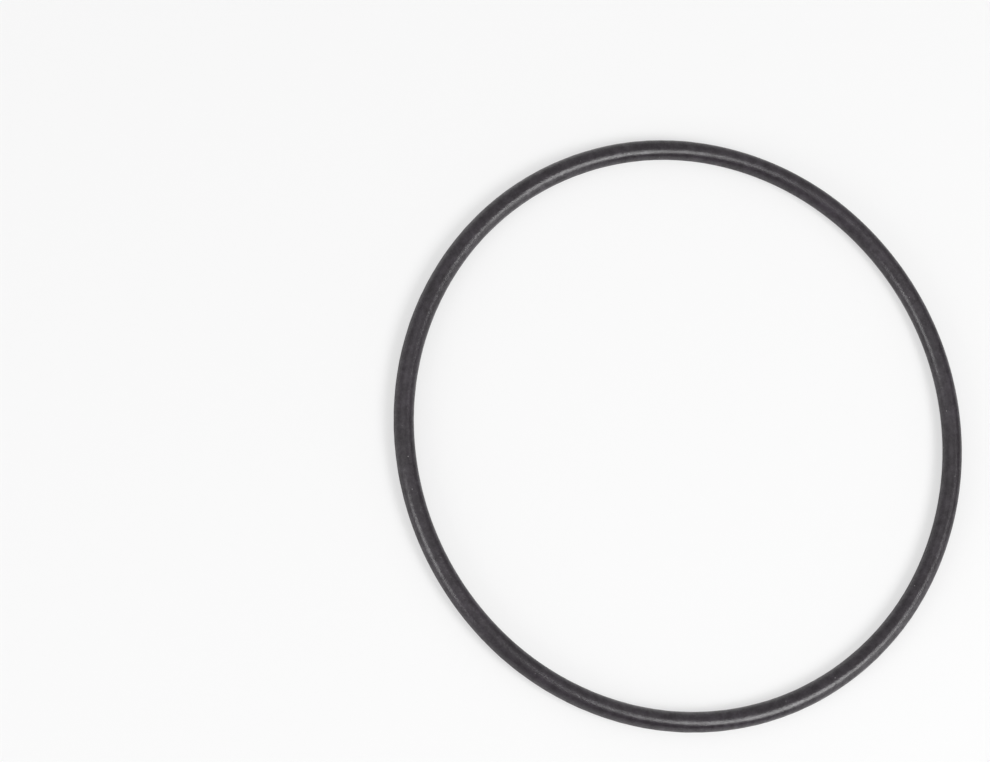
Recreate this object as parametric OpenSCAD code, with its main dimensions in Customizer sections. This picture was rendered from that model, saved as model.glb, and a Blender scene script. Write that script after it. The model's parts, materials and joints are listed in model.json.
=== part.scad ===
// Moulded rubber o-ring, lying flat.
// One solid of revolution: a round section carried about the ring's axis. Where the two
// halves of the mould met, half way up, the trimmed flash leaves a fine rib with sloping
// flanks and a narrow flat crest, one on the inside of the ring and one on the outside.
// The origin is the ring's centre, half way up the section, and +Z is the ring's axis.

/* [Ring] */
// Inside diameter of the relaxed ring, across the hole from section to section
inside_d = 100; // [20:1:250]
// Diameter of the round section, which is the ring's thickness
section_d = 3.55; // [1.8:0.05:8]

/* [Parting line] */
// How far the trimmed flash stands proud of the section on the inside of the ring
inner_rib_h = 0.05; // [0.02:0.01:0.1]
// How far the trimmed flash stands proud of the section on the outside of the ring
outer_rib_h = 0.06; // [0.02:0.01:0.1]
// Width of the rib's flat crest, along the ring's axis
rib_crest_w = 0.14; // [0.08:0.02:0.3]
// Slope of the rib's flanks, in degrees away from the mould's parting plane
rib_flank_angle = 35; // [15:5:45]

/* [Hidden] */
// Smoothness of the preview: largest angle and shortest side of a facet
$fa = 3;
$fs = 0.25;
// Share of the section's radius at which the rib is rooted, well inside the rubber
rib_root_share = 0.75;
section_r = section_d / 2;
// Radius of the circle that the centre of the section runs along
ring_r = inside_d / 2 + section_r;

// Half of a rib's width at distance x from the section's centre, for a rib of height h:
// half the crest, widened along the flank by the drop from the crest to x
function rib_half_w(x, h) =
    rib_crest_w / 2 + (section_r + h - x) * tan(rib_flank_angle);

// Outline of the rib on the +X side of the section, from inside the rubber to its crest
module rib_profile(h) {
    root_x = section_r * rib_root_share;
    crest_x = section_r + h;
    root_half_w = rib_half_w(root_x, h);
    crest_half_w = rib_half_w(crest_x, h);
    polygon([
        [root_x, -root_half_w],
        [crest_x, -crest_half_w],
        [crest_x, crest_half_w],
        [root_x, root_half_w],
    ]);
}

// The moulded section about its own centre, with the hole of the ring on its -X side
module section_profile() {
    circle(d = section_d);
    rib_profile(outer_rib_h);
    rotate(180) rib_profile(inner_rib_h);
}

module o_ring() {
    color("#38373a")
        rotate_extrude()
            translate([ring_r, 0]) section_profile();
}

o_ring();
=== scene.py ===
import json

import bpy
import numpy as np
from mathutils import Matrix, Vector


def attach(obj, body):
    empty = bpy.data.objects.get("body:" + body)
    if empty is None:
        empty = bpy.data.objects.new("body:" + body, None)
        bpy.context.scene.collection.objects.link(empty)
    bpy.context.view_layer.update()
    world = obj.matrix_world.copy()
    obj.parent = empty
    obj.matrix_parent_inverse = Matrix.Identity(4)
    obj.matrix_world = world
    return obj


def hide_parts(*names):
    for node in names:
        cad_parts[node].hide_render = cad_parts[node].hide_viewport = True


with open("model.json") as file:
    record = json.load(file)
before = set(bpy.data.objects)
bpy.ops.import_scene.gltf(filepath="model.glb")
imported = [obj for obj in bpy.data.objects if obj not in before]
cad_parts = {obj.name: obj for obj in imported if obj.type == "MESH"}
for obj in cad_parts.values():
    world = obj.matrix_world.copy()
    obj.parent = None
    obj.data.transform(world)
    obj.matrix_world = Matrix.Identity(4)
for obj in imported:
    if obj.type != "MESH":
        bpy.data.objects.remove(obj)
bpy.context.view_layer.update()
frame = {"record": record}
print("Frame loaded")

mm = 0.001  # the scene is in metres
tiny = 1e-6  # keeps a division off zero
seats = {mount["name"]: mount["dims"] for mount in frame["record"]["mounts"]}

# Sizes of the ring. The two crests of the moulding line come from the frame's own seats, and the
# cord and the ring are worked out from them. Turns and lobes of waves are drawn from the first
# number given up to just below the second.
ring = {
    "innerCrest": seats["inside_seat"]["r_mm"] * mm,
    "outerCrest": seats["outside_seat"]["r_mm"] * mm,
    "crestWidth": seats["inside_seat"]["length_mm"] * mm,
    "innerRib": 0.05 * mm,  # how far the trimmed flash stands proud inside
    "outerRib": 0.06 * mm,  # and outside
    "flankAngle": 35,  # degrees from the mould's parting plane
    "ribMargin": 1.5,  # where the fine steps across a rib end, in times the angle of its foot
    "trimLoss": 0.35,  # share of the rib that the uneven trimming takes away at most
    "trimWaves": {"turns": (9, 160), "lobes": (0, 1), "count": 14},  # no lobes, so alike across a rib
    "trimSpan": 8,  # width of the range of the waves' sum that goes from no loss to all of it
    "waviness": 0.006 * mm,  # slow unevenness of the moulded section, height of each wave
    "slowWaves": {"turns": (2, 12), "lobes": (-3, 4), "count": 6},
    "flashFade": 0.3,  # share of a rib's height over which its torn look sets in
    "scuffStretch": 6,  # how many times longer than wide a scuff is
    "stepsAround": 800,
    "stepsPerSide": 50,  # steps from one rib to the other, over the top or underneath
    "seed": 11,  # of the random draws, so that every run gives the same ring
    "mapStrips": 5,  # equal lengths that the cord is cut into on the skin's map, a divisor of stepsAround
    "mapGap": 0.005,  # empty edge round each strip, as a share of the map
}
ring["cordRadius"] = (ring["outerCrest"] - ring["innerCrest"] - ring["innerRib"] - ring["outerRib"]) / 2
ring["ringRadius"] = ring["innerCrest"] + ring["innerRib"] + ring["cordRadius"]


# A smooth surface from an array of places and the faces between them, by their places' numbers.
def addSurface(name, places, quads):
    mesh = bpy.data.meshes.new(name)
    mesh.from_pydata(places.reshape(-1, 3), [], quads.reshape(-1, 4))
    mesh.polygons.foreach_set("use_smooth", np.ones(len(mesh.polygons), bool))
    surface = bpy.data.objects.new(name, mesh)
    bpy.context.collection.objects.link(surface)
    return surface


# A closed sum of waves over the two angles: each is cos(turns * around + lobes * section + phase),
# and the turns and lobes are whole numbers, so the start meets the end.
def closedWaves(around, section, waves, seed):
    dice = np.random.default_rng(seed)
    total = np.zeros(np.broadcast(around, section).shape)
    for _ in range(waves["count"]):
        phase = dice.uniform(0, 2 * np.pi)
        wave = dice.integers(*waves["turns"]) * around + dice.integers(*waves["lobes"]) * section + phase
        total += np.cos(wave)
    return total


# Angles across one rib, measured from its middle: within the crest, at its edge, on the flank, at
# its foot and just past that. With f the flank's angle and reach the crest's distance from the
# section's centre, the edge is at atan(half the crest / reach), and the foot, where the flank meets
# the round cord, at asin((half the crest * cos f + reach * sin f) / cord's radius) - f.
def ribAngles(rib):
    flank = np.radians(ring["flankAngle"])
    reach = ring["cordRadius"] + rib
    halfCrest = ring["crestWidth"] / 2
    edge = np.arctan(halfCrest / reach)
    foot = np.arcsin((halfCrest * np.cos(flank) + reach * np.sin(flank)) / ring["cordRadius"]) - flank
    half = np.array([edge / 2, edge, (edge + foot) / 2, foot, ring["ribMargin"] * foot])
    return np.concatenate([-half[::-1], [0], half])


# Distance from the section's centre to its outline at each angle s: the cord's radius, or where it
# stands further out, the rib. The rib ends at the nearer of its crest, at reach / |cos s|, and its
# flank, at (half the crest + reach * slope) / (|sin s| + |cos s| * slope).
def outlineRadius(section, rib):
    slope = np.tan(np.radians(ring["flankAngle"]))
    across = np.abs(np.cos(section))
    up = np.abs(np.sin(section))
    reach = ring["cordRadius"] + rib
    crest = reach / np.maximum(across, tiny)
    flank = (ring["crestWidth"] / 2 + reach * slope) / (up + across * slope)
    return np.maximum(ring["cordRadius"], np.minimum(crest, flank))


# Carries the section round the ring: place = ((R + r cos s) cos a, (R + r cos s) sin a, r sin s)
# for the angle a round the ring and s round the section, where R is the ring's radius and r the
# section's outline.
def carryRound(around, section, outline, ringRadius):
    out = ringRadius + outline * np.cos(section)
    return np.stack([out * np.cos(around), out * np.sin(around), outline * np.sin(section)], -1)


# A flat map of the skin: the cord is cut into equal lengths, which lie one above another. Along a
# strip u runs with the angle round the ring, and across it v runs with the angle round the section.
def addSkinMap(mesh, section):
    strips, gap = ring["mapStrips"], ring["mapGap"]
    stripSteps = ring["stepsAround"] // strips
    step = np.arange(ring["stepsAround"])[:, None, None]
    ahead = np.array([0, 1, 1, 0])  # 1 for the corners of a face that lie a step further round the ring
    along = step % stripSteps / stripSteps + ahead / stripSteps
    turned = np.append((section - section[0]) / (2 * np.pi), 1)
    across = np.stack([turned[:-1], turned[:-1], turned[1:], turned[1:]], -1)
    u = gap + (1 - 2 * gap) * along
    v = step // stripSteps / strips + gap + (1 / strips - 2 * gap) * across
    corners = np.stack(np.broadcast_arrays(u, v), -1)
    mesh.uv_layers.new(name="OFBake").uv.foreach_set("vector", corners.ravel())


# The moulded ring: the outline of the cord and its unevenly trimmed ribs, plus the slow waviness,
# carried round. For its material, "flash" rises to 1 on the ribs, and "alongCord" is the place on a
# ring scuffStretch times smaller with the same cord, which draws a pattern out along the cord.
def makeRing():
    outerRib = ribAngles(ring["outerRib"])
    innerRib = ribAngles(ring["innerRib"]) + np.pi
    top = np.linspace(outerRib[-1], innerRib[0], ring["stepsPerSide"] + 1)[1:-1]
    section = np.concatenate([outerRib, top, innerRib, top + np.pi])[None, :]
    around = np.linspace(0, 2 * np.pi, ring["stepsAround"], endpoint=False)[:, None]

    trim = closedWaves(around, section, ring["trimWaves"], ring["seed"])
    kept = 1 - ring["trimLoss"] * np.clip(0.5 + trim / ring["trimSpan"], 0, 1)
    rib = np.where(np.cos(section) > 0, ring["outerRib"], ring["innerRib"])
    outline = outlineRadius(section, rib * kept)
    flash = np.clip((outline - ring["cordRadius"]) / (ring["flashFade"] * rib), 0, 1)
    outline = outline + ring["waviness"] * closedWaves(around, section, ring["slowWaves"], ring["seed"] + 1)

    places = carryRound(around, section, outline, ring["ringRadius"])
    alongCord = carryRound(around, section, outline, ring["ringRadius"] / ring["scuffStretch"])
    index = np.arange(outline.size).reshape(outline.shape)
    ahead = np.roll(index, -1, 0)
    quads = np.stack([index, ahead, np.roll(ahead, -1, 1), np.roll(index, -1, 1)], -1)

    piece = addSurface("nitrile_ring", places, quads)
    attributes = piece.data.attributes
    attributes.new("flash", "FLOAT", "POINT").data.foreach_set("value", flash.ravel())
    attributes.new("alongCord", "FLOAT_VECTOR", "POINT").data.foreach_set("vector", alongCord.ravel())
    addSkinMap(piece.data, section[0])
    piece.data.update()
    return piece


piece = makeRing()
print("Ring made:", len(piece.data.polygons), "faces")


# sRGB hex to linear: c / 12.92 up to 0.04045, and ((c + 0.055) / 1.055) ** 2.4 above.
def linearColour(hexText):
    c = np.array([int(hexText[i:i + 2], 16) for i in (1, 3, 5)]) / 255
    return (*np.where(c <= 0.04045, c / 12.92, ((c + 0.055) / 1.055) ** 2.4), 1.0)


# Adds a node, sets its own settings, and gives each input a value or a link.
def addNode(tree, kind, inputs=None, **settings):
    node = tree.nodes.new(kind)
    for name, value in settings.items():
        setattr(node, name, value)
    for name, value in (inputs or {}).items():
        if isinstance(value, bpy.types.NodeSocket):
            tree.links.new(value, node.inputs[name])
        else:
            node.inputs[name].default_value = value
    return node


nitrile = {
    "black": "#211c21",  # carbon black all through, with a warm trace of violet
    "bloom": "#302a31",  # wax that has come to the surface as a thin haze
    "flash": "#39363a",  # torn edge of the trimmed flash
    "dust": "#8c898b",
    "ior": 1.62,  # nitrile is 1.52, and its carbon black lifts that
    "glossCover": (0.60, 0.98),  # share of the face that is glossy, in the grain's hollows and on its tops
    "coverRange": (0.7, 1.3),  # grain plus mottle at which the cover is least and most
    "glossRoughness": 0.31,
    "hollowRoughness": 0.9,
    "grain": 0.34 * mm,  # the mould's blasted texture is about 0.05 mm, drawn this coarse to show
    "grainDepth": 0.045 * mm,
    "mottle": 1.3 * mm,  # patches where the rubber took the mould's texture more or less fully
    "bloomPatch": 13 * mm,
    "bloomRange": (0.85, 1.35),  # bloom plus mottle at which the haze begins and is full
    "scuffWidth": 0.5 * mm,
    "scuffHeight": 0.3,  # share of the grain's height
    "dustSpacing": 2.0 * mm,
    "dustSize": 0.10 * mm,  # radius of a speck
    "dustCore": 0.5,  # share of that radius that is solid dust
}


# Moulded nitrile rubber, 70 Shore A, as it comes out of a blasted steel mould: near black, satin,
# with a fine even grain that breaks up its highlights, a faint haze of wax and a few specks of dust.
# The grain's tops are glossy and its hollows matt, so the gloss is a coat that covers only a part of
# the face, and the rims stay darker than on a smooth rubber.
def mouldedNitrile():
    material = bpy.data.materials.new("moulded_nitrile_rubber")
    material.use_nodes = True
    tree = material.node_tree
    tree.nodes.clear()
    place = addNode(tree, "ShaderNodeTexCoord").outputs["Object"]
    alongCord = addNode(tree, "ShaderNodeAttribute", attribute_name="alongCord").outputs["Vector"]
    flash = addNode(tree, "ShaderNodeAttribute", attribute_name="flash").outputs["Fac"]

    grain = addNode(tree, "ShaderNodeTexNoise", {"Vector": place, "Scale": 1 / nitrile["grain"],
                    "Detail": 2, "Roughness": 0.6}).outputs["Fac"]
    mottle = addNode(tree, "ShaderNodeTexNoise", {"Vector": place, "Scale": 1 / nitrile["mottle"],
                     "Detail": 3, "Roughness": 0.55}).outputs["Fac"]
    bloom = addNode(tree, "ShaderNodeTexNoise", {"Vector": place, "Scale": 1 / nitrile["bloomPatch"],
                    "Detail": 4, "Roughness": 0.6}).outputs["Fac"]
    scuff = addNode(tree, "ShaderNodeTexNoise", {"Vector": alongCord, "Scale": 1 / nitrile["scuffWidth"],
                    "Detail": 2, "Roughness": 0.5}).outputs["Fac"]
    speck = addNode(tree, "ShaderNodeTexVoronoi", {"Vector": place, "Scale": 1 / nitrile["dustSpacing"],
                    "Randomness": 1.0}).outputs["Distance"]

    # Colour: black, then the haze of wax, the torn flash and the dust over it. A Mix node's inputs 6
    # and 7 are its two colours, and its output 2 is their mix.
    patches = addNode(tree, "ShaderNodeMath", {0: bloom, 1: mottle}, operation="ADD")
    haze = addNode(tree, "ShaderNodeMapRange", {"Value": patches.outputs[0],
                   "From Min": nitrile["bloomRange"][0], "From Max": nitrile["bloomRange"][1]})
    tone = addNode(tree, "ShaderNodeMix", {0: haze.outputs[0], 6: linearColour(nitrile["black"]),
                   7: linearColour(nitrile["bloom"])}, data_type="RGBA")
    tone = addNode(tree, "ShaderNodeMix", {0: flash, 6: tone.outputs[2],
                   7: linearColour(nitrile["flash"])}, data_type="RGBA")
    dustReach = nitrile["dustSize"] / nitrile["dustSpacing"]
    dust = addNode(tree, "ShaderNodeMapRange", {"Value": speck, "From Min": nitrile["dustCore"] * dustReach,
                   "From Max": dustReach, "To Min": 1.0, "To Max": 0.0})
    tone = addNode(tree, "ShaderNodeMix", {0: dust.outputs[0], 6: tone.outputs[2],
                   7: linearColour(nitrile["dust"])}, data_type="RGBA")

    # Gloss: how much of the face it covers, and the grain and scuffs that break it up
    tops = addNode(tree, "ShaderNodeMath", {0: grain, 1: mottle}, operation="ADD")
    cover = addNode(tree, "ShaderNodeMapRange", {"Value": tops.outputs[0],
                    "From Min": nitrile["coverRange"][0], "From Max": nitrile["coverRange"][1],
                    "To Min": nitrile["glossCover"][0], "To Max": nitrile["glossCover"][1]})
    height = addNode(tree, "ShaderNodeMath", {0: scuff, 1: nitrile["scuffHeight"], 2: grain},
                     operation="MULTIPLY_ADD")
    bump = addNode(tree, "ShaderNodeBump", {"Height": height.outputs[0], "Strength": 1.0,
                   "Distance": nitrile["grainDepth"]})

    shader = addNode(tree, "ShaderNodeBsdfPrincipled", {"Base Color": tone.outputs[2],
                     "Roughness": nitrile["hollowRoughness"], "IOR": nitrile["ior"],
                     "Specular IOR Level": 0.0, "Coat Weight": cover.outputs[0],
                     "Coat Roughness": nitrile["glossRoughness"], "Coat IOR": nitrile["ior"],
                     "Normal": bump.outputs[0], "Coat Normal": bump.outputs[0]})
    addNode(tree, "ShaderNodeOutputMaterial", {"Surface": shader.outputs[0]})
    return material


piece.data.materials.append(mouldedNitrile())
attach(piece, "root")
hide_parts("o_ring")
print("Rubber finished")

studio = {
    "floorHalf": 6.0,  # metres from the middle of the paper to each side
    "floorSteps": 96,
    "flatReach": 4.0,  # distance at which the paper starts to curve up, as in a photographer's cove
    "coveHeight": 0.9,  # height of the paper at the middle of each side
    "floorColour": "#e0e0e0",  # white paper, which sends back three quarters of the light
    "floorWhite": 0.55,  # how much of what is seen of the paper is plain white, free of shade
    "skyBright": (280, 42),  # azimuth and elevation of the sky's bright side
    "skyRange": (-0.35, 0.5),  # cosine to the bright side at which the sky is at its darkest and brightest
    "skyStrength": (0.10, 0.56),
}
softboxes = {  # azimuth and elevation of each as seen from the ring, in degrees, then metres and watts
    "key": {"azimuth": 114, "elevation": 52, "distance": 1.0, "width": 0.50, "height": 0.52, "power": 7.4},
    "side": {"azimuth": 120, "elevation": 14, "distance": 1.0, "width": 0.50, "height": 0.36, "power": 1.1},
    "fill": {"azimuth": 352, "elevation": 22, "distance": 1.0, "width": 0.40, "height": 0.50, "power": 3.5},
    "top": {"azimuth": 315, "elevation": 63, "distance": 1.2, "width": 1.00, "height": 1.00, "power": 1.6},
}


# The way to a point at an azimuth a, with 0 in front at -Y and 90 at +X, and an elevation e:
# (sin a cos e, -cos a cos e, sin e).
def towards(azimuth, elevation):
    a, e = np.radians((azimuth, elevation))
    return Vector((np.sin(a) * np.cos(e), -np.cos(a) * np.cos(e), np.sin(e)))


# A softbox that faces the ring and that the camera doesn't see.
def addSoftbox(name, box):
    lamp = bpy.data.lights.new(name, "AREA")
    lamp.shape = "RECTANGLE"
    lamp.size = box["width"]
    lamp.size_y = box["height"]
    lamp.energy = box["power"]
    holder = bpy.data.objects.new(name, lamp)
    away = towards(box["azimuth"], box["elevation"])
    holder.location = away * box["distance"]
    holder.rotation_euler = away.to_track_quat("Z", "Y").to_euler()
    holder.visible_camera = False
    bpy.context.collection.objects.link(holder)


# The given share for what is seen, by the camera, in gloss or through clear glass, and none for
# the light that falls on things.
def seenShare(tree, share):
    path = addNode(tree, "ShaderNodeLightPath").outputs
    seen = addNode(tree, "ShaderNodeMath", {0: path["Is Camera Ray"], 1: path["Is Glossy Ray"]},
                   operation="MAXIMUM")
    seen = addNode(tree, "ShaderNodeMath", {0: seen.outputs[0], 1: path["Is Transmission Ray"]},
                   operation="MAXIMUM")
    return addNode(tree, "ShaderNodeMath", {0: seen.outputs[0], 1: share}, operation="MULTIPLY").outputs[0]


# Matt uncoated paper from a roll: pale, with no gloss, so it takes a soft shadow and mirrors nothing.
def mattPaper():
    material = bpy.data.materials.new("matt_paper")
    material.use_nodes = True
    tree = material.node_tree
    tree.nodes.clear()
    paper = addNode(tree, "ShaderNodeBsdfDiffuse", {"Color": linearColour(studio["floorColour"])})
    white = addNode(tree, "ShaderNodeEmission", {"Strength": 1.0})
    shader = addNode(tree, "ShaderNodeMixShader", {0: seenShare(tree, studio["floorWhite"]),
                     1: paper.outputs[0], 2: white.outputs[0]})
    addNode(tree, "ShaderNodeOutputMaterial", {"Surface": shader.outputs[0]})
    return material


# A sheet of paper, flat as far as flatReach from the middle. Beyond that its height is
# coveHeight * ((distance - flatReach) / (floorHalf - flatReach)) squared.
def makePaper():
    half, reach = studio["floorHalf"], studio["flatReach"]
    side = np.linspace(-half, half, studio["floorSteps"] + 1)
    x, y = np.meshgrid(side, side)
    past = np.maximum(np.hypot(x, y) - reach, 0) / (half - reach)
    places = np.stack([x, y, studio["coveHeight"] * past ** 2 - ring["cordRadius"]], -1)
    index = np.arange(x.size).reshape(x.shape)
    quads = np.stack([index[:-1, :-1], index[:-1, 1:], index[1:, 1:], index[1:, :-1]], -1)
    floor = addSurface("paper", places, quads)
    floor.data.materials.append(mattPaper())


# The sky's strength rises smoothly with the cosine between its direction and its bright side.
def makeSky():
    world = bpy.data.worlds.new("studio")
    world.use_nodes = True
    tree = world.node_tree
    tree.nodes.clear()
    direction = addNode(tree, "ShaderNodeTexCoord").outputs["Generated"]
    cosine = addNode(tree, "ShaderNodeVectorMath", {0: direction, 1: towards(*studio["skyBright"])},
                     operation="DOT_PRODUCT")
    strength = addNode(tree, "ShaderNodeMapRange", {"Value": cosine.outputs["Value"],
                       "From Min": studio["skyRange"][0], "From Max": studio["skyRange"][1],
                       "To Min": studio["skyStrength"][0], "To Max": studio["skyStrength"][1]},
                       interpolation_type="SMOOTHSTEP")
    sky = addNode(tree, "ShaderNodeBackground", {"Color": (1, 1, 1, 1), "Strength": strength.outputs[0]})
    addNode(tree, "ShaderNodeOutputWorld", {"Surface": sky.outputs[0]})
    bpy.context.scene.world = world


makePaper()
makeSky()
for name, box in softboxes.items():
    addSoftbox(name, box)
print("Studio lit")

camera = {
    "lens": 140,  # mm on a 36 mm wide picture
    "distance": 0.680,  # metres from the aim
    "elevation": 70.76,  # degrees above the table
    "roll": 58.53,  # degrees that the picture is turned, which brings the near side to lower left
    "aim": (-0.02548, -0.02536, 0),  # what is at the middle of the picture, level with the cord's centre
}


# Looks at the aim from in front and above, and then turned about the line of sight by the roll.
def addCamera():
    lens = bpy.data.cameras.new("camera")
    lens.lens = camera["lens"]
    holder = bpy.data.objects.new("camera", lens)
    back = towards(0, camera["elevation"])
    turn = Matrix.Rotation(np.radians(camera["roll"]), 4, back)
    level = back.to_track_quat("Z", "Y").to_matrix().to_4x4()
    place = Matrix.Translation(Vector(camera["aim"]) + back * camera["distance"])
    holder.matrix_world = place @ turn @ level
    bpy.context.collection.objects.link(holder)
    bpy.context.scene.camera = holder


addCamera()
bpy.context.scene.view_settings.view_transform = "Standard"
